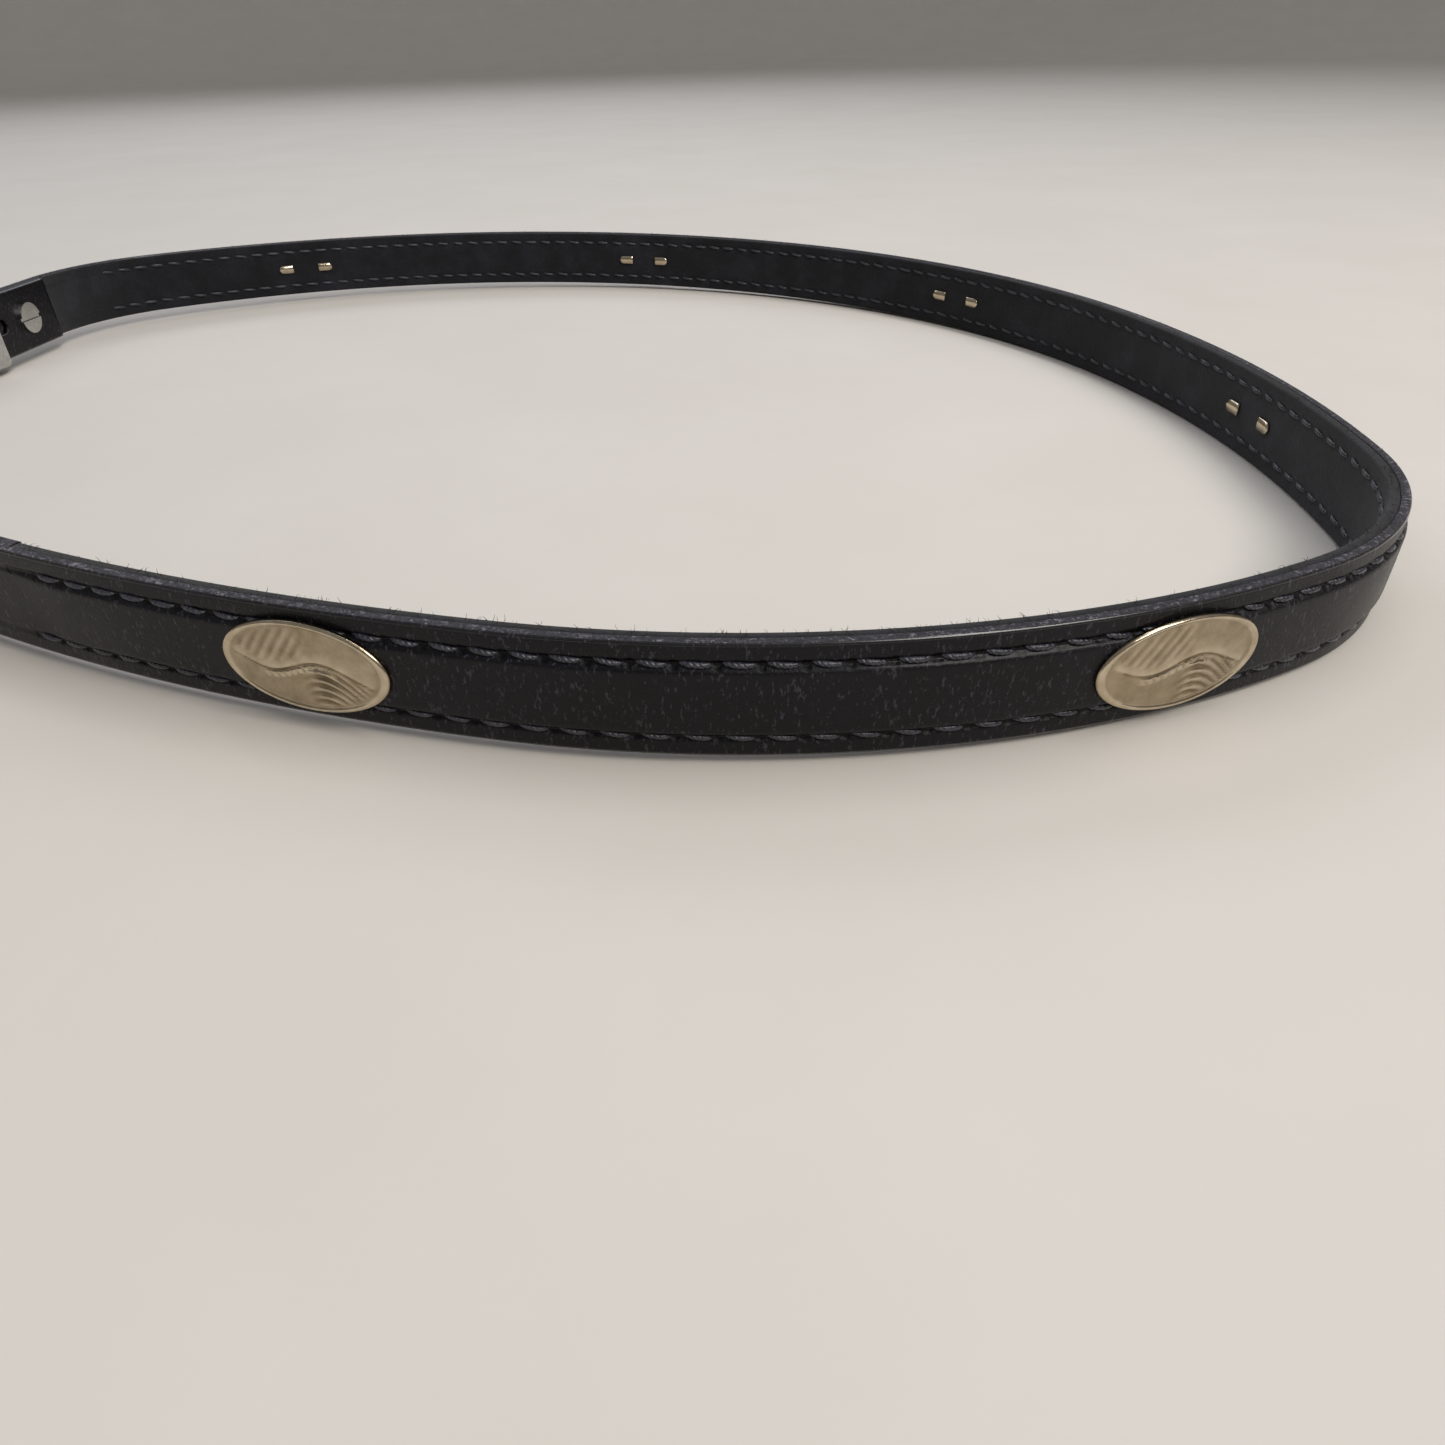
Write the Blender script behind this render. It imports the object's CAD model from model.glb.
"""Looks of the headcollar's loop strap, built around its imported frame. Lengths are in millimetres until placed."""
import math
import random

import bmesh
import bpy
from mathutils import Matrix, Vector


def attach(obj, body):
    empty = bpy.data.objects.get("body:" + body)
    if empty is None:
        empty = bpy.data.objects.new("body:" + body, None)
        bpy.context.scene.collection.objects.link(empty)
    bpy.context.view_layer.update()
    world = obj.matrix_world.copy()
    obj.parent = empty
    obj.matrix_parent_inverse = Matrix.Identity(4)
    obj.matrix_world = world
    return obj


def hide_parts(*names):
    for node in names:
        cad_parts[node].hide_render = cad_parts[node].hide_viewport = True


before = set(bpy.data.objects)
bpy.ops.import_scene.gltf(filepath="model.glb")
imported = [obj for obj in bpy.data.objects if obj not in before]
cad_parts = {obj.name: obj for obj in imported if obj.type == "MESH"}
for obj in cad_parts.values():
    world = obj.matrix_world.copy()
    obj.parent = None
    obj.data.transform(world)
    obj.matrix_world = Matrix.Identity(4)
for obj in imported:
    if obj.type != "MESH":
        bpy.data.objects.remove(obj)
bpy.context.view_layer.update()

MM = 0.001
RNG = random.Random(7)

# ---------------------------------------------------------------- strap, as in the part's source
STRAP_W = 16.0
MID_Z = STRAP_W / 2
OUTER_T = 1.5
LINING_T = 1.6
BAND_RISE = 0.5
FACE_N = OUTER_T + BAND_RISE
SEAM_IN = 2.9
BILLET_N = 3.9
TIP_U = 19.0
HEEL_U = 42.0
HEEL_N = -0.8
EYE_HOLE_R = 1.3
CLOSURE_L = 85.0
DIP_START_U = 43.0
DIP_L = 17.65
DIP_A = 2 * math.degrees(math.atan(BILLET_N / DIP_L))
DIP_R = DIP_L / (2 * math.sin(math.radians(DIP_A)))
WORN_HOLE_U = 51.23
HOLE_PITCH = 20.0
HOLE_R = 2.0
LINED_FROM = 150.0
BEND_R = [50, None, 154, 54, 221, None, 46]
BEND_A = [50, 30, 41, 54, 25, 109, 51]
CONCHO_S = [199, 309, 426, 543, 660, 777]
CONCHO_L = 24.0
CONCHO_H = 13.0
CONCHO_T = 0.6
STITCH_PITCH = 5.07
STAND_HEADING = 100.0


def way(a):
    """Unit vector in plan at an angle in degrees."""
    return Vector((math.cos(math.radians(a)), math.sin(math.radians(a))))


def arc_offset(h0, h1):
    """Move along an arc of radius 1 that turns left from one heading to another."""
    return way(h1 - 90) - way(h0 - 90)


def closed_bends():
    """The loop's radii, with the two long arcs solved so that the loop meets itself."""
    h = [-90]
    for a in BEND_A:
        h.append(h[-1] + a)
    gap = Vector((0.0, -CLOSURE_L))
    for i, r in enumerate(BEND_R):
        if r:
            gap += r * arc_offset(h[i], h[i + 1])
    p, q = arc_offset(h[1], h[2]), arc_offset(h[5], h[6])
    cross = p.x * q.y - p.y * q.x
    front = (q.x * gap.y - q.y * gap.x) / cross
    back = (p.y * gap.x - p.x * gap.y) / cross
    return [front if i == 1 else back if i == 5 else r for i, r in enumerate(BEND_R)]


class Route:
    """A plan route of straights and arcs, each [length, turn in degrees], from a start and a heading."""

    def __init__(self, start, heading, stretches):
        self.legs = []
        p, h, t = Vector(start), heading, 0.0
        for length, turn in stretches:
            self.legs.append((t, p.copy(), h, length, turn))
            p = p + self.step(h, length, turn)
            h, t = h + turn, t + length
        self.length = t

    @staticmethod
    def step(h, length, turn):
        if abs(turn) < 1e-9:
            return length * way(h)
        r = length / math.radians(turn)
        return r * arc_offset(h, h + turn)

    def at(self, t):
        """Place and heading after a travel of t."""
        leg = self.legs[0]
        for other in self.legs:
            if other[0] <= t:
                leg = other
        t0, p, h, length, turn = leg
        part = (t - t0) / length
        return p + self.step(h, t - t0, turn * part), h + turn * part


BENDS = closed_bends()
LOOP = [[math.radians(a) * r, a] for r, a in zip(BENDS, BEND_A)]
LOOP_L = sum(leg[0] for leg in LOOP)
DIP_ARC = math.radians(DIP_A) * DIP_R
# The fold stands a little proud of the flat leather, by the bar's half thickness
SWELL_L, SWELL_N = 6.0, 0.5
SWELL_A = 2 * math.degrees(math.atan(SWELL_N / SWELL_L))
SWELL_ARC = math.radians(SWELL_A) * SWELL_L / (2 * math.sin(math.radians(SWELL_A)))
before_loop = [[DIP_START_U - TIP_U, 0], [DIP_ARC, DIP_A], [DIP_ARC, -DIP_A], [CLOSURE_L - DIP_START_U - DIP_L, 0]]
after_loop = [[HEEL_U - SWELL_L, 0], [SWELL_ARC, -SWELL_A], [SWELL_ARC, SWELL_A],
              [math.pi * EYE_HOLE_R, 180],
              [SWELL_ARC, SWELL_A], [SWELL_ARC, -SWELL_A], [HEEL_U - SWELL_L, 0]]
S0 = sum(leg[0] for leg in before_loop)
strap_route = Route((-BILLET_N, CLOSURE_L - TIP_U), -90, before_loop + LOOP + after_loop)
loop_route = Route((0, 0), -90, LOOP + [[CLOSURE_L, 0]])
LINED_TO = LOOP_L - 16
FOLD_T = S0 + LOOP_L + HEEL_U - SWELL_L + 2 * SWELL_ARC


# ---------------------------------------------------------------- place in the frame
def bend_centre(i):
    t = sum(leg[0] for leg in LOOP[:i])
    p, h = loop_route.at(t + 1e-6)
    return p + BENDS[i] * way(h + 90)


FOOT = 3.0
stand_p = bend_centre(4) + (BENDS[4] + OUTER_T) * way(STAND_HEADING - 90)
foot_p = Vector((-HEEL_N, CLOSURE_L - HEEL_U - 1.6))
lean = math.atan(FOOT / (stand_p - foot_p).dot(way(STAND_HEADING - 90)))
pivot = Matrix.Translation(stand_p.to_3d())
lean_axis = way(STAND_HEADING).to_3d()
keeper_reach = BILLET_N + OUTER_T + 0.3 + 1.2
middle = Vector(((bend_centre(4).x + BENDS[4] + FACE_N - keeper_reach) / 2,
                 (bend_centre(2).y - BENDS[2] - FACE_N + bend_centre(5).y + BENDS[5] + FACE_N) / 2, 0))
STAND = Matrix.Translation(-middle) @ pivot @ Matrix.Rotation(lean, 4, lean_axis) @ pivot.inverted()


def placed(p, h, n, z):
    """Metres in the frame, from a plan place, its heading, an outward height and a height."""
    q = p + n * way(h - 90)
    return (STAND @ Vector((q.x, q.y, z))) * MM


def on_loop(s, n, z):
    p, h = loop_route.at(s)
    return placed(p, h, n, z)


# ---------------------------------------------------------------- meshes
def smooth(e0, e1, x):
    t = min(1.0, max(0.0, (x - e0) / (e1 - e0)))
    return t * t * (3 - 2 * t)


def make_object(name, verts, faces, material, body="strap", uvs=None, shade=True):
    """Mesh object at the origin that rides on a body; uvs gives one pair for each vertex."""
    mesh = bpy.data.meshes.new(name)
    mesh.from_pydata([tuple(v) for v in verts], [], faces)
    if uvs:
        layer = mesh.uv_layers.new(name="travel")
        for loop in mesh.loops:
            layer.data[loop.index].uv = uvs[loop.vertex_index]
    mesh.polygons.foreach_set("use_smooth", [shade] * len(mesh.polygons))
    mesh.materials.append(material)
    obj = bpy.data.objects.new(name, mesh)
    bpy.context.scene.collection.objects.link(obj)
    return obj


def sweep(route, stations, profile):
    """Closed skin along a route; profile(t) gives (n, z) points round the section, all of one count."""
    verts, faces, uvs = [], [], []
    count = len(profile(stations[0]))
    for t in stations:
        p, h = route.at(t)
        for n, z in profile(t):
            verts.append(placed(p, h, n, z))
            uvs.append((t, z))
    for i in range(len(stations) - 1):
        for j in range(count):
            a, b = i * count + j, i * count + (j + 1) % count
            faces.append((a, b, b + count, a + count))
    faces.append(tuple(reversed(range(count))))
    last = (len(stations) - 1) * count
    faces.append(tuple(range(last, last + count)))
    return verts, faces, uvs


def outward(obj):
    """Recalculates the faces so that they point out of the solid."""
    bm = bmesh.new()
    bm.from_mesh(obj.data)
    bmesh.ops.remove_doubles(bm, verts=bm.verts, dist=1e-7)
    bmesh.ops.recalc_face_normals(bm, faces=bm.faces)
    bm.to_mesh(obj.data)
    bm.free()


def mesh_copy(obj, name):
    """A plain mesh of an object with its modifiers applied; the source is removed."""
    depsgraph = bpy.context.evaluated_depsgraph_get()
    mesh = bpy.data.meshes.new_from_object(obj.evaluated_get(depsgraph))
    mesh.name = name
    old = obj.name
    bpy.data.objects.remove(obj)
    done = bpy.data.objects.new(name, mesh)
    bpy.context.scene.collection.objects.link(done)
    return done


def stations_between(t0, t1, step, extra=()):
    count = max(1, round((t1 - t0) / step))
    ts = {round(t0 + (t1 - t0) * i / count, 4) for i in range(count + 1)}
    ts |= {round(t, 4) for t in extra if t0 < t < t1}
    return sorted(ts)


# ---------------------------------------------------------------- materials
def srgb(code):
    """Linear colour of an sRGB hex value."""
    rgb = [int(code[i:i + 2], 16) / 255 for i in (1, 3, 5)]
    return tuple(c / 12.92 if c <= 0.04045 else ((c + 0.055) / 1.055) ** 2.4 for c in rgb) + (1.0,)


def add(tree, kind, links=None, **settings):
    """Adds a node, sets its properties or its sockets' values, and links sockets by name."""
    node = tree.nodes.new(kind)
    for key, value in settings.items():
        if hasattr(node, key):
            setattr(node, key, value)
    for key, value in (links or {}).items():
        socket = node.inputs[key]
        if isinstance(value, bpy.types.NodeSocket):
            tree.links.new(value, socket)
        else:
            socket.default_value = value
    return node


def new_material(name):
    """Material with an empty tree but for its output and its shader."""
    material = bpy.data.materials.new(name)
    material.use_nodes = True
    tree = material.node_tree
    tree.nodes.clear()
    out = add(tree, "ShaderNodeOutputMaterial")
    shader = add(tree, "ShaderNodeBsdfPrincipled")
    tree.links.new(shader.outputs[0], out.inputs[0])
    return material, tree, shader


def ramp(tree, factor, stops):
    """Colour ramp from (place, colour) stops."""
    node = add(tree, "ShaderNodeValToRGB", {0: factor})
    while len(node.color_ramp.elements) < len(stops):
        node.color_ramp.elements.new(0.5)
    for element, (place, colour) in zip(node.color_ramp.elements, stops):
        element.position = place
        element.color = colour if not isinstance(colour, str) else srgb(colour)
    return node.outputs[0]


def grey(v):
    return (v, v, v, 1.0)


def math_node(tree, operation, a, b=0.0):
    return add(tree, "ShaderNodeMath", {0: a, 1: b}, operation=operation).outputs[0]


def needle_holes(tree):
    """1 in the needle holes between the stitches and 0 elsewhere, by the travel along the strap."""
    along = add(tree, "ShaderNodeUVMap", uv_map="travel").outputs[0]
    split = add(tree, "ShaderNodeSeparateXYZ", {0: along})
    first = S0 + LINED_FROM
    phase = math_node(tree, "SUBTRACT", split.outputs[0], first - STITCH_PITCH / 2)
    wrapped = math_node(tree, "SUBTRACT", math_node(tree, "MODULO", phase, STITCH_PITCH), STITCH_PITCH / 2)
    across = math_node(tree, "ABSOLUTE", math_node(tree, "SUBTRACT", split.outputs[1], MID_Z))
    off = math_node(tree, "SUBTRACT", across, MID_Z - SEAM_IN)
    place = add(tree, "ShaderNodeCombineXYZ", {"X": wrapped, "Y": off})
    far = add(tree, "ShaderNodeVectorMath", {0: place.outputs[0]}, operation="LENGTH").outputs["Value"]
    # A hole is 0.7 mm across and its rim is drawn in over another 0.4 mm
    hole = add(tree, "ShaderNodeMapRange", {"Value": far, "From Min": 0.35, "From Max": 0.8, "To Min": 1.0, "To Max": 0.0})
    inside = math_node(tree, "GREATER_THAN", split.outputs[0], first - 1.0)
    ends = math_node(tree, "LESS_THAN", split.outputs[0], S0 + LINED_TO - 3.0)
    return math_node(tree, "MULTIPLY", hole.outputs[0], math_node(tree, "MULTIPLY", inside, ends))


def bridle_leather(name, wax, wax_roughness):
    """Black bridle leather, drum dyed and waxed: fine pores, grey wax flecks and a soft sheen."""
    material, tree, shader = new_material(name)
    where = add(tree, "ShaderNodeTexCoord").outputs["Object"]
    holes = needle_holes(tree)
    # Grain cells of a calf hide are about 0.5 mm, pores 0.4 mm and rubbed patches 15 mm
    cells = add(tree, "ShaderNodeTexVoronoi", {"Vector": where, "Scale": 1 / (0.5 * MM)}, feature="DISTANCE_TO_EDGE")
    pores = add(tree, "ShaderNodeTexNoise", {"Vector": where, "Scale": 1 / (0.4 * MM), "Detail": 4.0, "Roughness": 0.7})
    patches = add(tree, "ShaderNodeTexNoise", {"Vector": where, "Scale": 1 / (15 * MM), "Detail": 5.0, "Roughness": 0.6})
    # Grey flecks of wax bloom, a quarter of a millimetre across, drawn out upwards
    drawn = add(tree, "ShaderNodeMapping", {"Vector": where, "Scale": (1.0, 1.0, 0.4)})
    flecks = add(tree, "ShaderNodeTexNoise", {"Vector": drawn.outputs[0], "Scale": 1 / (0.55 * MM), "Detail": 2.5, "Roughness": 0.75})
    fleck = ramp(tree, flecks.outputs[0], [(0.58, grey(0.0)), (0.66, grey(1.0))])
    base = ramp(tree, patches.outputs[0], [(0.3, "#060609"), (0.55, "#0a090f"), (0.8, "#110f17")])
    worn = add(tree, "ShaderNodeMixRGB", {0: math_node(tree, "MULTIPLY", fleck, 0.5), 1: base, 2: srgb("#4d4a57")})
    dark = add(tree, "ShaderNodeMixRGB", {0: holes, 1: worn.outputs[0], 2: srgb("#020203")})
    tree.links.new(dark.outputs[0], shader.inputs["Base Color"])
    rough = ramp(tree, patches.outputs[0], [(0.25, grey(0.34)), (0.75, grey(0.5))])
    tree.links.new(math_node(tree, "SUBTRACT", rough, math_node(tree, "MULTIPLY", fleck, 0.12)), shader.inputs["Roughness"])
    shader.inputs["Specular IOR Level"].default_value = 0.2
    shader.inputs["Coat Weight"].default_value = wax
    shader.inputs["Coat Roughness"].default_value = wax_roughness
    grain = math_node(tree, "ADD", math_node(tree, "MULTIPLY", cells.outputs[0], 0.8), pores.outputs[0])
    height = math_node(tree, "SUBTRACT", math_node(tree, "ADD", grain, fleck), math_node(tree, "MULTIPLY", holes, 3.0))
    bump = add(tree, "ShaderNodeBump", {"Height": height, "Strength": 0.5, "Distance": 0.12 * MM})
    tree.links.new(bump.outputs[0], shader.inputs["Normal"])
    return material


def cut_edge():
    """Edge of the cut leather, dyed and rubbed with wax: darker fibres, pale lint, a dull sheen."""
    material, tree, shader = new_material("dyed cut leather edge")
    where = add(tree, "ShaderNodeTexCoord").outputs["Object"]
    fibres = add(tree, "ShaderNodeTexNoise", {"Vector": where, "Scale": 1 / (0.5 * MM), "Detail": 6.0, "Roughness": 0.75})
    lint = add(tree, "ShaderNodeTexNoise", {"Vector": where, "Scale": 1 / (0.8 * MM), "Detail": 4.0, "Roughness": 0.8})
    base = ramp(tree, fibres.outputs[0], [(0.35, "#131217"), (0.5, "#25232a"), (0.62, "#45424c")])
    speck = ramp(tree, lint.outputs[0], [(0.55, grey(0.0)), (0.62, grey(1.0))])
    mixed = add(tree, "ShaderNodeMixRGB", {0: math_node(tree, "MULTIPLY", speck, 0.85), 1: base, 2: srgb("#86828c")})
    tree.links.new(mixed.outputs[0], shader.inputs["Base Color"])
    shader.inputs["Roughness"].default_value = 0.62
    bump = add(tree, "ShaderNodeBump", {"Height": fibres.outputs[0], "Strength": 0.9, "Distance": 0.35 * MM})
    tree.links.new(bump.outputs[0], shader.inputs["Normal"])
    return material


def suede_lining():
    """Flesh side of the lining leather: matt, short nap that catches light, slate grey."""
    material, tree, shader = new_material("slate suede lining")
    where = add(tree, "ShaderNodeTexCoord").outputs["Object"]
    nap = add(tree, "ShaderNodeTexNoise", {"Vector": where, "Scale": 1 / (0.6 * MM), "Detail": 8.0, "Roughness": 0.8})
    patches = add(tree, "ShaderNodeTexNoise", {"Vector": where, "Scale": 1 / (9 * MM), "Detail": 4.0, "Roughness": 0.6})
    both = math_node(tree, "ADD", math_node(tree, "MULTIPLY", nap.outputs[0], 0.5), math_node(tree, "MULTIPLY", patches.outputs[0], 0.5))
    base = ramp(tree, both, [(0.35, "#0b0b0f"), (0.5, "#15151b"), (0.65, "#25252e")])
    tree.links.new(base, shader.inputs["Base Color"])
    shader.inputs["Roughness"].default_value = 0.9
    shader.inputs["Sheen Weight"].default_value = 0.16
    shader.inputs["Specular IOR Level"].default_value = 0.3
    shader.inputs["Sheen Roughness"].default_value = 0.5
    bump = add(tree, "ShaderNodeBump", {"Height": nap.outputs[0], "Strength": 0.7, "Distance": 0.3 * MM})
    tree.links.new(bump.outputs[0], shader.inputs["Normal"])
    return material


def waxed_thread():
    """Waxed polyester thread of two plies, near black, with a dull shine on each ply."""
    material, tree, shader = new_material("waxed polyester thread")
    along = add(tree, "ShaderNodeUVMap", uv_map="travel").outputs[0]
    # The plies wind round once in about 1.2 mm
    plies = add(tree, "ShaderNodeTexWave", {"Vector": along, "Scale": 1.0, "Distortion": 0.0}, bands_direction="DIAGONAL")
    where = add(tree, "ShaderNodeTexCoord").outputs["Object"]
    fuzz = add(tree, "ShaderNodeTexNoise", {"Vector": where, "Scale": 1 / (0.5 * MM), "Detail": 4.0})
    base = ramp(tree, fuzz.outputs[0], [(0.35, "#1c1c24"), (0.65, "#3a3a46")])
    tree.links.new(base, shader.inputs["Base Color"])
    shader.inputs["Roughness"].default_value = 0.36
    shader.inputs["Coat Weight"].default_value = 0.3
    shader.inputs["Coat Roughness"].default_value = 0.25
    bump = add(tree, "ShaderNodeBump", {"Height": plies.outputs[1], "Strength": 0.6, "Distance": 0.15 * MM})
    tree.links.new(bump.outputs[0], shader.inputs["Normal"])
    return material


def german_silver():
    """Cast nickel silver, tumbled and handled: warm pale metal, darker and browner in the sunk ground."""
    material, tree, shader = new_material("tumbled nickel silver")
    shader.inputs["Metallic"].default_value = 1.0
    sunk = add(tree, "ShaderNodeAttribute", attribute_name="height").outputs["Fac"]
    where = add(tree, "ShaderNodeTexCoord").outputs["Object"]
    tarnish = add(tree, "ShaderNodeTexNoise", {"Vector": where, "Scale": 1 / (2.5 * MM), "Detail": 5.0, "Roughness": 0.65})
    bright = ramp(tree, tarnish.outputs[0], [(0.3, "#b9aa90"), (0.7, "#d6c9b2")])
    dull = ramp(tree, tarnish.outputs[0], [(0.3, "#65543c"), (0.7, "#8d7a5d")])
    mixed = add(tree, "ShaderNodeMixRGB", {0: sunk, 1: dull, 2: bright})
    tree.links.new(mixed.outputs[0], shader.inputs["Base Color"])
    rough = ramp(tree, sunk, [(0.0, grey(0.36)), (1.0, grey(0.16))])
    tree.links.new(rough, shader.inputs["Roughness"])
    # Handling marks a third of a millimetre across
    fine = add(tree, "ShaderNodeTexNoise", {"Vector": where, "Scale": 1 / (0.3 * MM), "Detail": 3.0})
    bump = add(tree, "ShaderNodeBump", {"Height": fine.outputs[0], "Strength": 0.25, "Distance": 0.08 * MM})
    tree.links.new(bump.outputs[0], shader.inputs["Normal"])
    return material


def nickel_steel():
    """Nickel plated steel wire and turned screws: bright, with faint handling marks."""
    material, tree, shader = new_material("nickel plated steel")
    shader.inputs["Metallic"].default_value = 1.0
    where = add(tree, "ShaderNodeTexCoord").outputs["Object"]
    marks = add(tree, "ShaderNodeTexNoise", {"Vector": where, "Scale": 1 / (1.5 * MM), "Detail": 6.0, "Roughness": 0.7})
    tree.links.new(ramp(tree, marks.outputs[0], [(0.3, "#a9a8a6"), (0.7, "#cfcdc9")]), shader.inputs["Base Color"])
    tree.links.new(ramp(tree, marks.outputs[0], [(0.3, grey(0.16)), (0.7, grey(0.3))]), shader.inputs["Roughness"])
    bump = add(tree, "ShaderNodeBump", {"Height": marks.outputs[0], "Strength": 0.08, "Distance": 0.05 * MM})
    tree.links.new(bump.outputs[0], shader.inputs["Normal"])
    return material


def pasteboard():
    """Filler strip of leather board, matt and brown, sealed inside the band."""
    material, tree, shader = new_material("leather board filler")
    where = add(tree, "ShaderNodeTexCoord").outputs["Object"]
    chips = add(tree, "ShaderNodeTexNoise", {"Vector": where, "Scale": 1 / (1.0 * MM), "Detail": 4.0})
    tree.links.new(ramp(tree, chips.outputs[0], [(0.3, "#54432f"), (0.7, "#7a6650")]), shader.inputs["Base Color"])
    shader.inputs["Roughness"].default_value = 0.85
    return material


def board_floor():
    """Pale floor, matt, that shows as near white."""
    material, tree, shader = new_material("pale matt floor")
    where = add(tree, "ShaderNodeTexCoord").outputs["Object"]
    cloud = add(tree, "ShaderNodeTexNoise", {"Vector": where, "Scale": 14.0, "Detail": 8.0, "Roughness": 0.6})
    tree.links.new(ramp(tree, cloud.outputs[0], [(0.3, "#cfcac3"), (0.7, "#d4cfc9")]), shader.inputs["Base Color"])
    shader.inputs["Roughness"].default_value = 0.8
    return material


LEATHER = bridle_leather("black waxed bridle leather", 0.1, 0.06)
ARRIS = bridle_leather("burnished leather arris", 1.0, 0.14)
EDGE = cut_edge()
SUEDE = suede_lining()
THREAD = waxed_thread()
SILVER = german_silver()
STEEL = nickel_steel()
FILLER = pasteboard()


# ---------------------------------------------------------------- outer leather
GROOVE_DEEP = 0.5
CREASE_DEEP = 0.22
EDGE_R = 0.45


def rounded(n0, n1, z0, z1, r0, r1, face_z, face):
    """Section with round corners: back corners of r0, outer corners of r1, and face(z) on the outer side."""
    pts = []
    for a in (0, 30, 60, 90):
        pts.append((n1 - r1 + r1 * math.sin(math.radians(a)) + face(z0 + r1) * (a / 90),
                    z0 + r1 - r1 * math.cos(math.radians(a))))
    for z in face_z:
        pts.append((n1 + face(z), z))
    for a in (90, 60, 30, 0):
        pts.append((n1 - r1 + r1 * math.sin(math.radians(a)) + face(z1 - r1) * (a / 90),
                    z1 - r1 + r1 * math.cos(math.radians(a))))
    for a in (0, 45, 90):
        pts.append((n0 + r0 - r0 * math.sin(math.radians(a)), z1 - r0 + r0 * math.cos(math.radians(a))))
    for a in (90, 45, 0):
        pts.append((n0 + r0 - r0 * math.sin(math.radians(a)), z0 + r0 - r0 * math.cos(math.radians(a))))
    return pts


def face_heights():
    """Heights across the outer face, close together at the two seams."""
    near = [SEAM_IN + d for d in (-0.9, -0.65, -0.45, -0.25, 0, 0.25, 0.45, 0.7, 1.0, 1.4)]
    inner = [5.0, 6.0, 7.0, 8.0]
    half = [0.9, 1.4] + near + inner
    return half + [STRAP_W - z for z in reversed(half[:-1])]


FACE_Z = face_heights()


def strap_profile(t):
    """Section of the outer leather: plain at the billet and the fold, padded and grooved between."""
    s = t - S0
    pad = smooth(LINED_FROM, LINED_FROM + 10, s) * (1 - smooth(LINED_TO - 8, LINED_TO, s))
    fold = smooth(LOOP_L - 12, LOOP_L - 6, s)
    seam = smooth(LINED_FROM - 2, LINED_FROM + 4, s) * (1 - smooth(LINED_TO - 4, LINED_TO, s))
    deep = CREASE_DEEP * (1 - fold) + (GROOVE_DEEP - CREASE_DEEP) * seam
    thick = LINING_T if s < LINED_FROM else 0.0

    def face(z):
        d = abs(z - MID_Z)
        edge = MID_Z - SEAM_IN
        rise = BAND_RISE * (1 - smooth(edge - 1.1, edge + 0.3, d)) + 0.12 * (1 - (d / MID_Z) ** 2)
        groove = math.exp(-((d - edge) / 0.42) ** 2)
        return pad * rise - deep * groove

    return rounded(-thick, OUTER_T, 0.0, STRAP_W, 0.25, EDGE_R, FACE_Z, face)


def point_tip(obj):
    """Cuts the billet's end to a point with two arcs, by moving the skin's end inwards."""
    r = STRAP_W * 0.69
    length = math.sqrt(r * r - (r - MID_Z) ** 2)
    inverse = STAND.inverted()
    for v in obj.data.vertices:
        q = inverse @ (v.co / MM)
        u = CLOSURE_L - q.y
        if -q.x > OUTER_T + 0.3 and u < TIP_U + length and abs(q.x) < 9:
            half = math.sqrt(max(0.0, r * r - (length - (u - TIP_U)) ** 2)) - (r - MID_Z)
            q.z = MID_Z + (q.z - MID_Z) * max(half, 0.02) / MID_Z
            v.co = (STAND @ q) * MM


def outer_leather():
    extra = [S0 + LINED_FROM - 0.01, S0 + LINED_FROM + 0.01]
    ts = [0, 0.15, 0.4, 0.8, 1.3, 2, 2.8, 3.7, 4.7, 5.8, 7, 8.4, 10]
    ts += stations_between(12, S0, 1.5)
    ts += stations_between(S0 + 2, S0 + LOOP_L, 2.0, extra)
    ts += stations_between(S0 + LOOP_L + 1.5, FOLD_T, 1.0)
    ts += stations_between(FOLD_T + 0.15, FOLD_T + math.pi * EYE_HOLE_R, 0.3)
    ts += stations_between(FOLD_T + math.pi * EYE_HOLE_R + 0.5, strap_route.length, 1.0)
    verts, faces, uvs = sweep(strap_route, sorted(set(ts)), strap_profile)
    obj = make_object("outer_leather", verts, faces, LEATHER, uvs=uvs)
    point_tip(obj)
    outward(obj)
    cutters = []
    for i, deep in ((-1, BILLET_N), (1, 0), (2, 0), (3, 0)):
        u = WORN_HOLE_U + i * HOLE_PITCH
        if u < CLOSURE_L:
            p, h = Vector((0, CLOSURE_L - u)), -90
        else:
            p, h = loop_route.at(u - CLOSURE_L)
        cutters.append(hole_cutter(p, h, deep, HOLE_R, 0))
    cutters.append(hole_cutter(Vector((0, CLOSURE_L - WORN_HOLE_U)), -90, BILLET_N / 2, 1.65, 7.2))
    slot_mid = (21 + HEEL_U + 2.9) / 2
    cutters.append(slot_cutter(slot_mid, HEEL_U + 2.9 - 21))
    for cutter in cutters:
        cut = obj.modifiers.new("hole", "BOOLEAN")
        cut.object = cutter
        cut.operation = "DIFFERENCE"
        cut.solver = "EXACT"
    obj = mesh_copy(obj, "outer_leather")
    for cutter in cutters:
        bpy.data.objects.remove(cutter)
    edge_slots(obj)
    return obj


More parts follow.
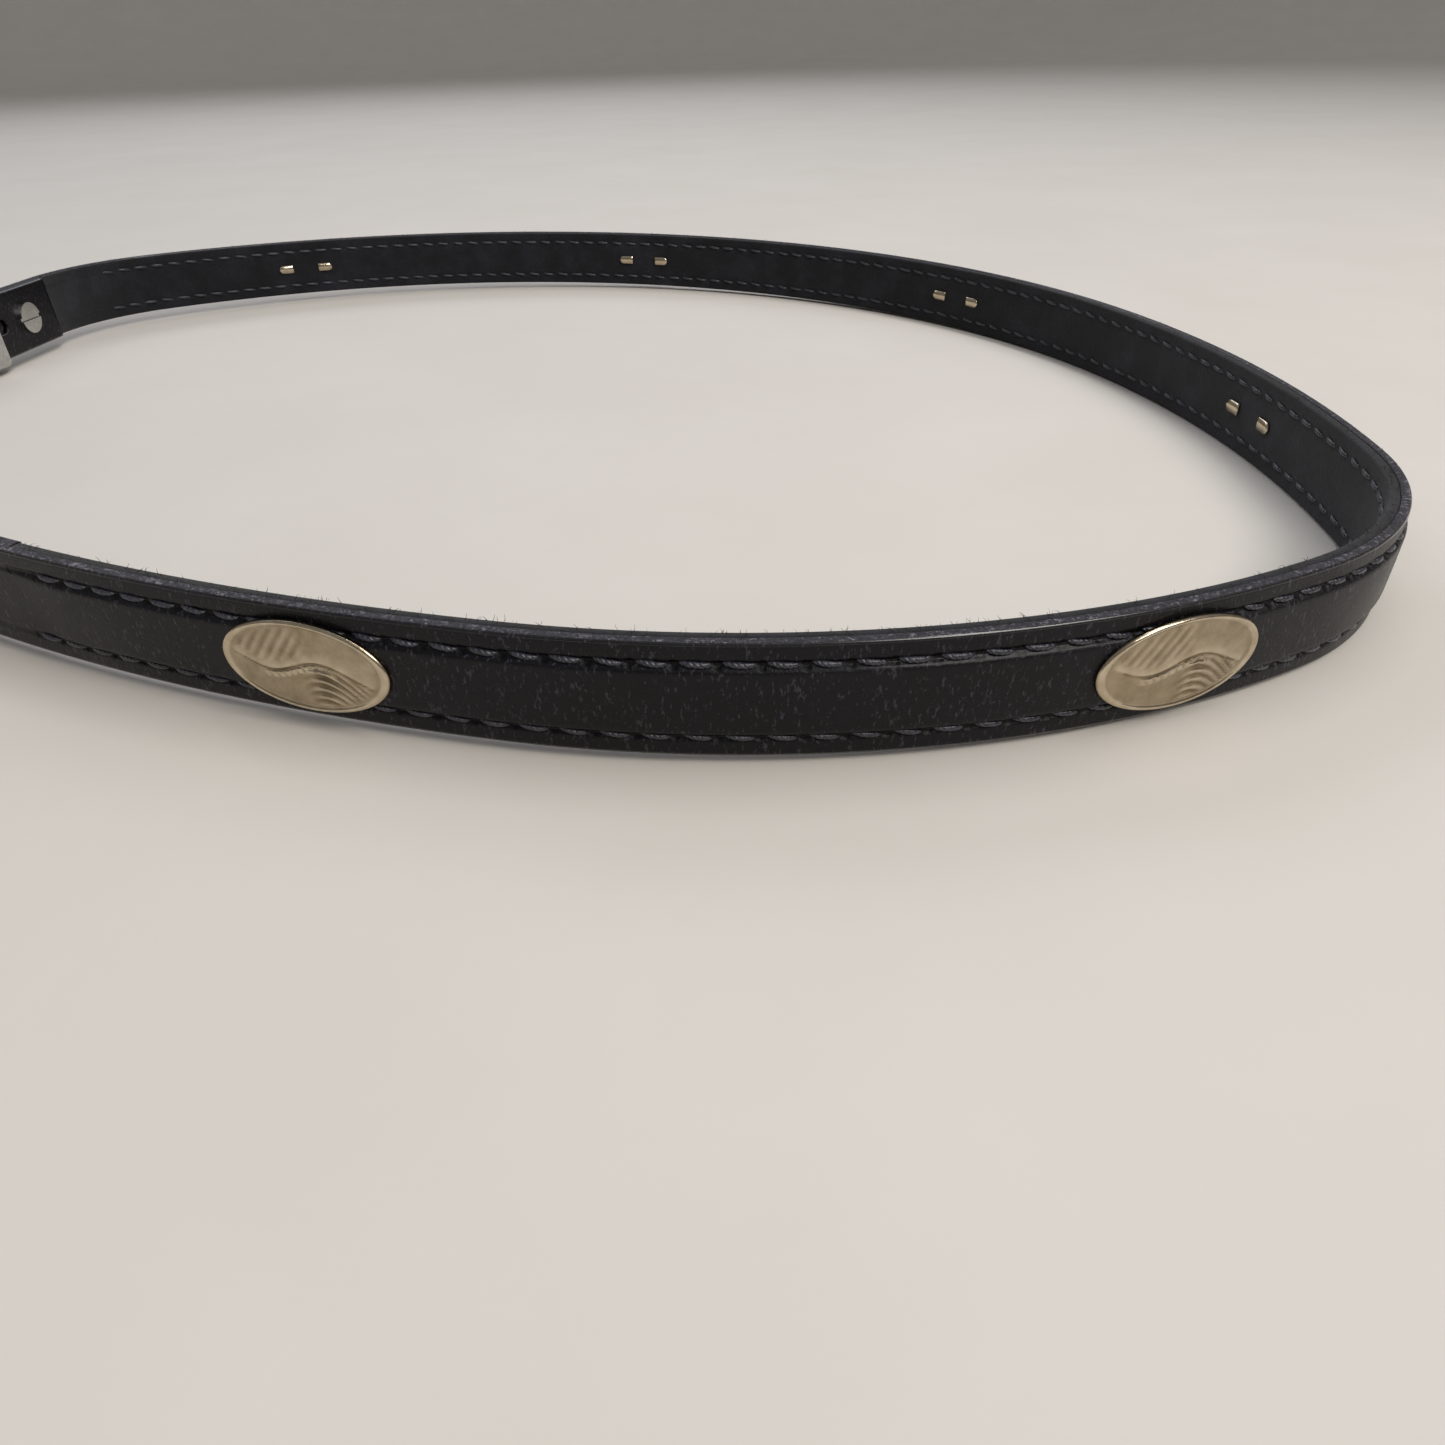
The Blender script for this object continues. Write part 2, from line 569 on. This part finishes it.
def hole_cutter(p, h, n, r, reach):
    """Prism through the strap: a round hole, or a slot with round ends that reaches along the strap."""
    verts, faces = [], []
    ring = []
    for i in range(32):
        a = 2 * math.pi * i / 32
        ring.append((r * math.cos(a) + (reach / 2 if math.cos(a) > 0 else -reach / 2), r * math.sin(a)))
    for deep in (n - LINING_T - 0.65, n + OUTER_T + 3.0):
        for along, up in ring:
            q = p + along * way(h)
            verts.append(placed(q, h, deep, MID_Z + up))
    count = len(ring)
    for i in range(count):
        j = (i + 1) % count
        faces.append((i, j, j + count, i + count))
    faces.append(tuple(range(count)))
    faces.append(tuple(reversed(range(count, 2 * count))))
    cutter = make_object("cutter", verts, faces, LEATHER)
    outward(cutter)
    return cutter


def slot_cutter(u, length):
    """Box with round ends for the tongue's slot on both sides of the fold."""
    verts, faces = [], []
    ring = []
    for i in range(32):
        a = 2 * math.pi * i / 32
        reach = (length - 4) / 2
        ring.append((2.0 * math.cos(a) + (reach if math.cos(a) > 0 else -reach), 2.0 * math.sin(a)))
    for n in (-5.2, 2.2):
        for along, up in ring:
            verts.append(placed(Vector((0, CLOSURE_L - u - along)), -90, n, MID_Z + up))
    count = len(ring)
    for i in range(count):
        j = (i + 1) % count
        faces.append((i, j, j + count, i + count))
    faces.append(tuple(range(count)))
    faces.append(tuple(reversed(range(count, 2 * count))))
    cutter = make_object("cutter", verts, faces, LEATHER)
    outward(cutter)
    return cutter


def edge_slots(obj):
    """Gives the cut edges and their burnished arrises their finish, by the way their faces look."""
    obj.data.materials.clear()
    obj.data.materials.append(LEATHER)
    obj.data.materials.append(EDGE)
    obj.data.materials.append(ARRIS)
    up = (STAND.to_3x3() @ Vector((0, 0, 1))).normalized()
    flat = STAND.inverted()
    for face in obj.data.polygons:
        rise = abs(face.normal.dot(up))
        z = (flat @ (face.center / MM)).z
        if rise > 0.9:
            face.material_index = 1
        elif rise > 0.22 and min(z, STRAP_W - z) < EDGE_R * 1.3:
            face.material_index = 2


# ---------------------------------------------------------------- lining
LINING_IN = 0.15


def lining_profile(t):
    def back(z):
        """Dimple along each seam, and a slight crown between."""
        d = abs(z - MID_Z)
        edge = MID_Z - SEAM_IN
        return 0.25 * math.exp(-((d - edge) / 0.5) ** 2) - 0.1

    pts = []
    low, high = LINING_IN, STRAP_W - LINING_IN
    heights = [low + 0.4] + [z for z in FACE_Z if low + 0.5 < z < high - 0.5] + [high - 0.4]
    pts.append((-0.02, low + 0.1))
    pts.append((-0.15, low))
    pts.append((-LINING_T + 0.4, low))
    pts.append((-LINING_T + 0.12, low + 0.12))
    for z in heights:
        pts.append((-LINING_T + back(z) + 0.1, z))
    pts.append((-LINING_T + 0.12, high - 0.12))
    pts.append((-LINING_T + 0.4, high))
    pts.append((-0.15, high))
    pts.append((-0.02, high - 0.1))
    return pts


def lining():
    lining_end = LOOP_L + HEEL_U - 3.2
    ts = stations_between(LINED_FROM + 0.1, lining_end, 2.0)
    verts, faces, uvs = sweep(loop_route, ts, lining_profile)
    obj = make_object("suede_lining", verts, faces, SUEDE, uvs=uvs)
    outward(obj)
    return obj


# ---------------------------------------------------------------- stitches
def stitch_mesh():
    """One slanted stitch with its ends bent down into the leather, along x, with z outwards."""
    verts, faces = [], []
    rings, sides = 11, 8
    length, r = 4.3, 0.42
    for i in range(rings):
        f = i / (rings - 1)
        x = (f - 0.5) * length
        sink = 0.75 * abs(2 * f - 1) ** 3.0
        slant = 0.5 * (0.5 - f)
        girth = r * (0.72 + 0.28 * math.sin(math.pi * f))
        for j in range(sides):
            a = 2 * math.pi * j / sides
            verts.append((x * MM, (slant + girth * math.cos(a)) * MM, (girth * math.sin(a) - sink) * MM))
    for i in range(rings - 1):
        for j in range(sides):
            a, b = i * sides + j, i * sides + (j + 1) % sides
            faces.append((a, b, b + sides, a + sides))
    faces.append(tuple(reversed(range(sides))))
    faces.append(tuple(range((rings - 1) * sides, rings * sides)))
    uvs = [(v[0] / MM, v[1] / MM) for v in verts]
    obj = make_object("stitch_source", verts, faces, THREAD, uvs=uvs)
    outward(obj)
    return obj


def scatter_tree(source, material):
    """Sets one copy of the source at each point, turned by the point's own frame, with small random turns."""
    tree = bpy.data.node_groups.new("scatter " + source.name, "GeometryNodeTree")
    face = tree.interface
    face.new_socket("Geometry", in_out="INPUT", socket_type="NodeSocketGeometry")
    spread = face.new_socket("Turn spread", in_out="INPUT", socket_type="NodeSocketFloat")
    size = face.new_socket("Size spread", in_out="INPUT", socket_type="NodeSocketFloat")
    seed = face.new_socket("Seed", in_out="INPUT", socket_type="NodeSocketInt")
    face.new_socket("Geometry", in_out="OUTPUT", socket_type="NodeSocketGeometry")
    given = add(tree, "NodeGroupInput").outputs
    made = add(tree, "NodeGroupOutput")
    copy = add(tree, "GeometryNodeObjectInfo", {"Object": source})
    own = add(tree, "GeometryNodeInputNamedAttribute", {"Name": "turn"}, data_type="FLOAT_VECTOR")
    own_turn = add(tree, "FunctionNodeEulerToRotation", {0: own.outputs[0]})

    def spread_about(middle, socket):
        low = math_node(tree, "SUBTRACT", middle, socket)
        high = math_node(tree, "ADD", middle, socket)
        value = add(tree, "FunctionNodeRandomValue", {"Seed": given["Seed"]}, data_type="FLOAT")
        tree.links.new(low, value.inputs[2])
        tree.links.new(high, value.inputs[3])
        return value.outputs[1]

    about = add(tree, "ShaderNodeCombineXYZ", {"Z": spread_about(0.0, given["Turn spread"])})
    small_turn = add(tree, "FunctionNodeEulerToRotation", {0: about.outputs[0]})
    turn = add(tree, "FunctionNodeRotateRotation", {0: own_turn.outputs[0], 1: small_turn.outputs[0]},
               rotation_space="LOCAL")
    grown = spread_about(1.0, given["Size spread"])
    size3 = add(tree, "ShaderNodeCombineXYZ", {"X": grown, "Y": grown, "Z": grown})
    copies = add(tree, "GeometryNodeInstanceOnPoints", {
        "Points": given["Geometry"], "Instance": copy.outputs["Geometry"],
        "Rotation": turn.outputs[0], "Scale": size3.outputs[0]})
    real = add(tree, "GeometryNodeRealizeInstances", {0: copies.outputs[0]})
    finish = add(tree, "GeometryNodeSetMaterial", {"Geometry": real.outputs[0], "Material": material})
    tree.links.new(finish.outputs[0], made.inputs[0])
    return tree, (spread.identifier, size.identifier, seed.identifier)


def scattered(name, points, turns, scatter, turn_spread, size_spread, seed):
    """Plain mesh of the copies that a scatter tree sets on the points."""
    tree, keys = scatter
    mesh = bpy.data.meshes.new(name)
    mesh.from_pydata([tuple(p) for p in points], [], [])
    turn = mesh.attributes.new("turn", "FLOAT_VECTOR", "POINT")
    for i, t in enumerate(turns):
        turn.data[i].vector = (t.x, t.y, t.z)
    carrier = bpy.data.objects.new(name, mesh)
    bpy.context.scene.collection.objects.link(carrier)
    modifier = carrier.modifiers.new("scatter", "NODES")
    modifier.node_group = tree
    for key, value in zip(keys, (turn_spread, size_spread, seed)):
        modifier[key] = value
    return mesh_copy(carrier, name)


def frame_turn(s, x_way, z_way):
    """Euler turn whose x and z axes are given as (along, outward, up) at a place on the loop."""
    p, h = loop_route.at(s)
    axes = (way(h).to_3d(), way(h - 90).to_3d(), Vector((0, 0, 1)))
    x = sum((a * k for a, k in zip(axes, x_way)), Vector()).normalized()
    z = sum((a * k for a, k in zip(axes, z_way)), Vector()).normalized()
    y = z.cross(x).normalized()
    x = y.cross(z)
    return (STAND.to_3x3() @ Matrix((x, y, z)).transposed()).to_euler()


def seam(name, z, from_s, scatter, seed):
    """Row of stitches on the outer face and its pair on the lining, as one mesh."""
    points, turns = [], []
    first = math.ceil((from_s - LINED_FROM) / STITCH_PITCH)
    last = int((LINED_TO - 3 - LINED_FROM) / STITCH_PITCH)
    for side, n in ((1, OUTER_T - 0.02), (-1, -LINING_T + 0.05)):
        for i in range(first, last):
            s = LINED_FROM + (i + 0.5) * STITCH_PITCH
            points.append(on_loop(s, n, z))
            turns.append(frame_turn(s, (1, 0, 0), (0, side, 0)))
    return scattered(name, points, turns, scatter, 0.06, 0.06, seed)


def fibre_mesh():
    """One loose fibre of the flesh side, 1 mm long and bent over."""
    verts, faces = [], []
    for i in range(4):
        f = i / 3
        r = 0.035 * (1 - 0.6 * f)
        for j in range(3):
            a = 2 * math.pi * j / 3
            verts.append(((0.5 * f * f + r * math.cos(a)) * MM, r * math.sin(a) * MM, (0.8 * f - 0.3 * f * f - 0.1) * MM))
    for i in range(3):
        for j in range(3):
            a, b = 3 * i + j, 3 * i + (j + 1) % 3
            faces.append((a, b, b + 3, a + 3))
    faces += [(2, 1, 0), (9, 10, 11)]
    return make_object("fibre_source", verts, faces, SUEDE)


def lint(scatter):
    """Loose fibres that stand along the upper cut edges of the two leathers."""
    points, turns = [], []
    for _ in range(1700):
        s = RNG.uniform(LINED_FROM + 1, LOOP_L)
        points.append(on_loop(s, RNG.uniform(-LINING_T + 0.1, OUTER_T - 0.6), STRAP_W - 0.1))
        lean_out = RNG.uniform(-0.9, 0.4)
        turns.append(frame_turn(s, (RNG.uniform(-1, 1), -1, 0), (RNG.uniform(-0.7, 0.7), lean_out, 0.55)))
    return scattered("edge_lint", points, turns, scatter, 1.0, 0.45, 11)


# ---------------------------------------------------------------- conchos
def leaf_line(x):
    """Height of the leaf's vein across the plate: a slow S that falls to the right."""
    return 1.15 * math.sin(0.4 * x + 0.5) - 0.07 * x


def relief(x, y):
    """Height of the plate's face: a thin rim, a scrolled leaf with small scallops, and long flutes."""
    q = math.hypot(x / (CONCHO_L / 2), y / (CONCHO_H / 2))
    edge = (1 - q) * CONCHO_H / 2
    rim = 0.24 * smooth(0.0, 0.18, edge) * (1 - smooth(0.4, 0.75, edge))
    inside = smooth(0.75, 1.3, edge)
    d = y - leaf_line(x)
    vein = -0.17 * math.exp(-(d / 0.16) ** 2) * smooth(-9.5, -7.5, x) * (1 - smooth(8.0, 10.0, x))
    blade = 0.2 * math.exp(-max(d, 0.0) / 0.9) * smooth(-0.1, 0.15, d)
    row = smooth(-6.5, -5.0, x) * (1 - smooth(3.5, 5.0, x)) * smooth(-1.35, -1.15, d) * (1 - smooth(-0.5, -0.3, d))
    scallops = 0.17 * abs(math.sin(math.pi * (x + 0.5 * y) / 1.15)) * row
    bend = d + 0.045 * (x - 2.0) ** 2
    low = smooth(-1.0, 2.5, x) * (1 - smooth(-0.6, -0.25, d))
    flutes = 0.12 * math.cos(2 * math.pi * bend / 1.25) * low
    high = (1 - smooth(-1.0, 2.0, x)) * smooth(0.9, 1.5, d)
    rays = 0.07 * math.cos(2 * math.pi * (0.8 * x - 0.6 * y) / 1.3) * high
    return 0.25 * (1 - q * q) + rim + inside * (vein + blade + scallops + flutes + rays)


def concho(index, s):
    """Plate on its bend, with relief on its face, a thin wall and two prongs behind the lining."""
    verts, heights, faces = [], [], []
    rings, sides = 34, 128
    p, h = loop_route.at(s)
    rx, ry = CONCHO_L / 2, CONCHO_H / 2
    grid = [(0.0, 0.0)]
    for i in range(1, rings + 1):
        f = i / rings
        f = 1 - (1 - f) ** 1.15
        for j in range(sides):
            a = 2 * math.pi * j / sides
            grid.append((rx * f * math.cos(a), ry * f * math.sin(a)))
    for x, y in grid:
        lift = relief(x, y)
        verts.append(on_loop(s + x, FACE_N + 0.5 + lift, MID_Z + y))
        ground = 0.25 * (1 - (x / rx) ** 2 - (y / ry) ** 2)
        heights.append(min(1.0, max(0.0, (lift - ground + 0.13) / 0.27)))
    for j in range(sides):
        faces.append((0, 1 + j, 1 + (j + 1) % sides))
    for i in range(rings - 1):
        for j in range(sides):
            a, b = 1 + i * sides + j, 1 + i * sides + (j + 1) % sides
            faces.append((a, a + sides, b + sides, b))
    rim_start = 1 + (rings - 1) * sides
    back = len(verts)
    for j in range(sides):
        a = 2 * math.pi * j / sides
        verts.append(on_loop(s + rx * math.cos(a), FACE_N + 0.06, MID_Z + ry * math.sin(a)))
        heights.append(0.7)
    for j in range(sides):
        k = (j + 1) % sides
        faces.append((rim_start + j, back + j, back + k, rim_start + k))
    verts.append(on_loop(s, FACE_N + 0.1, MID_Z))
    heights.append(0.5)
    for j in range(sides):
        faces.append((back + (j + 1) % sides, back + j, len(verts) - 1))
    for side in (-1, 1):
        add_prong(verts, heights, faces, s, side)
    obj = make_object(f"concho_plate_{index}", verts, faces, SILVER)
    layer = obj.data.attributes.new("height", "FLOAT", "POINT")
    layer.data.foreach_set("value", heights)
    recalc(obj)
    return obj


def recalc(obj):
    """Turns the faces outwards and keeps the vertices and their attributes."""
    bm = bmesh.new()
    bm.from_mesh(obj.data)
    bmesh.ops.recalc_face_normals(bm, faces=bm.faces)
    bm.to_mesh(obj.data)
    bm.free()


def add_prong(verts, heights, faces, s, side):
    """Strip bent out behind the lining, from the slit to its rounded end."""
    prong_s, foot, width, t = 4.0, 4.5, 2.5, 0.5
    stations = [0.0, 0.4, 1.0, 1.8, 2.6, 3.3, 3.8, 4.1, foot]
    start = len(verts)
    for i, d in enumerate(stations):
        lift = 0.25 * math.exp(-d / 0.5)
        half = width / 2 * (1.0 if d < 3.2 else math.sqrt(max(0.0, 1 - ((d - 3.2) / 1.32) ** 2)))
        half = max(half, 0.15)
        for n, z in ((-LINING_T - 0.02, -half), (-LINING_T - t + lift * 0.3, -half * 0.92),
                     (-LINING_T - t - 0.05 + lift * 0.3, 0.0),
                     (-LINING_T - t + lift * 0.3, half * 0.92), (-LINING_T - 0.02, half)):
            verts.append(on_loop(s + side * (prong_s + d), n, MID_Z + z))
            heights.append(0.85)
    for i in range(len(stations) - 1):
        for j in range(5):
            a, b = start + i * 5 + j, start + i * 5 + (j + 1) % 5
            faces.append((a, b, b + 5, a + 5))
    faces.append(tuple(range(start, start + 5)))
    last = start + (len(stations) - 1) * 5
    faces.append(tuple(reversed(range(last, last + 5))))


# ---------------------------------------------------------------- build
def ride_and_replace(obj, nodes, body="strap"):
    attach(obj, body)
    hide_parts(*nodes)


ride_and_replace(outer_leather(), ["outer_strap"])
ride_and_replace(lining(), ["lining"])
stitch, fibre = stitch_mesh(), fibre_mesh()
stitches, fibres = scatter_tree(stitch, THREAD), scatter_tree(fibre, SUEDE)
upper = seam("stitches_upper", STRAP_W - SEAM_IN, LINED_FROM + 3, stitches, 3)
lower = seam("stitches_lower", SEAM_IN, LINED_FROM, stitches, 5)
edge_lint = lint(fibres)
bpy.data.objects.remove(stitch)
bpy.data.objects.remove(fibre)
ride_and_replace(upper, ["stitching_upper"])
ride_and_replace(lower, ["stitching_lower"])
ride_and_replace(edge_lint, [])
for number, place in enumerate(CONCHO_S, 1):
    ride_and_replace(concho(number, place), [f"concho_{number}"])


def finish_node(node, material):
    """Gives a carried node its material."""
    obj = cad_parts[node]
    obj.data.materials.clear()
    obj.data.materials.append(material)


for node in ("screw_post", "screw", "buckle_frame", "buckle_tongue", "keeper_loop"):
    finish_node(node, STEEL)
finish_node("filler", FILLER)


# ---------------------------------------------------------------- floor, light and camera
def floor():
    """Round floor that rises in a smooth sweep all round the strap."""
    flat, r, wall, sides = 2.2, 1.0, 1.6, 96
    line = [(0.01, 0.0), (flat, 0.0)]
    line += [(flat + r * math.sin(math.radians(a)), r - r * math.cos(math.radians(a))) for a in range(6, 91, 6)]
    line.append((flat + r, wall))
    verts, faces = [], [tuple(range(sides))]
    for out, z in line:
        verts += [(out * math.cos(2 * math.pi * i / sides), out * math.sin(2 * math.pi * i / sides), z)
                  for i in range(sides)]
    for k in range(len(line) - 1):
        for i in range(sides):
            a, b = k * sides + i, k * sides + (i + 1) % sides
            faces.append((a, a + sides, b + sides, b))
    mesh = bpy.data.meshes.new("floor")
    mesh.from_pydata(verts, [], faces)
    mesh.polygons.foreach_set("use_smooth", [True] * len(faces))
    mesh.materials.append(board_floor())
    obj = bpy.data.objects.new("floor", mesh)
    bpy.context.scene.collection.objects.link(obj)


def lamp(name, place, target, size, power, colour):
    light = bpy.data.lights.new(name, "AREA")
    light.shape = "RECTANGLE"
    light.size, light.size_y = size
    light.energy = power
    light.color = srgb(colour)[:3]
    obj = bpy.data.objects.new(name, light)
    bpy.context.scene.collection.objects.link(obj)
    obj.location = place
    obj.rotation_mode = "QUATERNION"
    obj.rotation_quaternion = (Vector(target) - Vector(place)).to_track_quat("-Z", "Y")
    return obj


def daylight():
    """A large window to the front right, a weaker one behind, and a pale room."""
    world = bpy.data.worlds.new("room light")
    bpy.context.scene.world = world
    world.use_nodes = True
    background = world.node_tree.nodes["Background"]
    background.inputs["Color"].default_value = srgb("#e8e9ec")
    background.inputs["Strength"].default_value = 0.3
    lamp("window", (0.85, -0.75, 1.15), (0, 0, 0), (0.8, 0.6), 14, "#fffaf2")
    lamp("strip", (0.35, 0.1, 1.2), (0.05, -0.1, 0), (1.3, 0.1), 6, "#ffffff")
    lamp("back window", (-0.5, 1.1, 1.0), (0, 0, 0), (1.4, 0.5), 6, "#eef3ff")


def camera():
    """Camera near the floor, before the front run, turned to where the photographer stood."""
    place = Vector((59.4, -237.3, 74.7))
    turn, pitch, roll = math.radians(3.19), math.radians(34.96), math.radians(-1.39)
    ahead = Vector((-math.sin(turn) * math.cos(pitch), math.cos(turn) * math.cos(pitch), -math.sin(pitch)))
    right = Vector((math.cos(turn), math.sin(turn), 0))
    up = right.cross(ahead)
    right, up = right * math.cos(roll) + up * math.sin(roll), up * math.cos(roll) - right * math.sin(roll)
    data = bpy.data.cameras.new("camera")
    data.sensor_width = 36
    data.lens = 24.85
    data.clip_start = 0.01
    obj = bpy.data.objects.new("camera", data)
    bpy.context.scene.collection.objects.link(obj)
    turn_matrix = Matrix((right, up, -ahead)).transposed().to_4x4()
    obj.matrix_world = Matrix.Translation(place * MM) @ turn_matrix
    bpy.context.scene.camera = obj


floor()
daylight()
camera()
bpy.context.scene.view_settings.view_transform = "Standard"
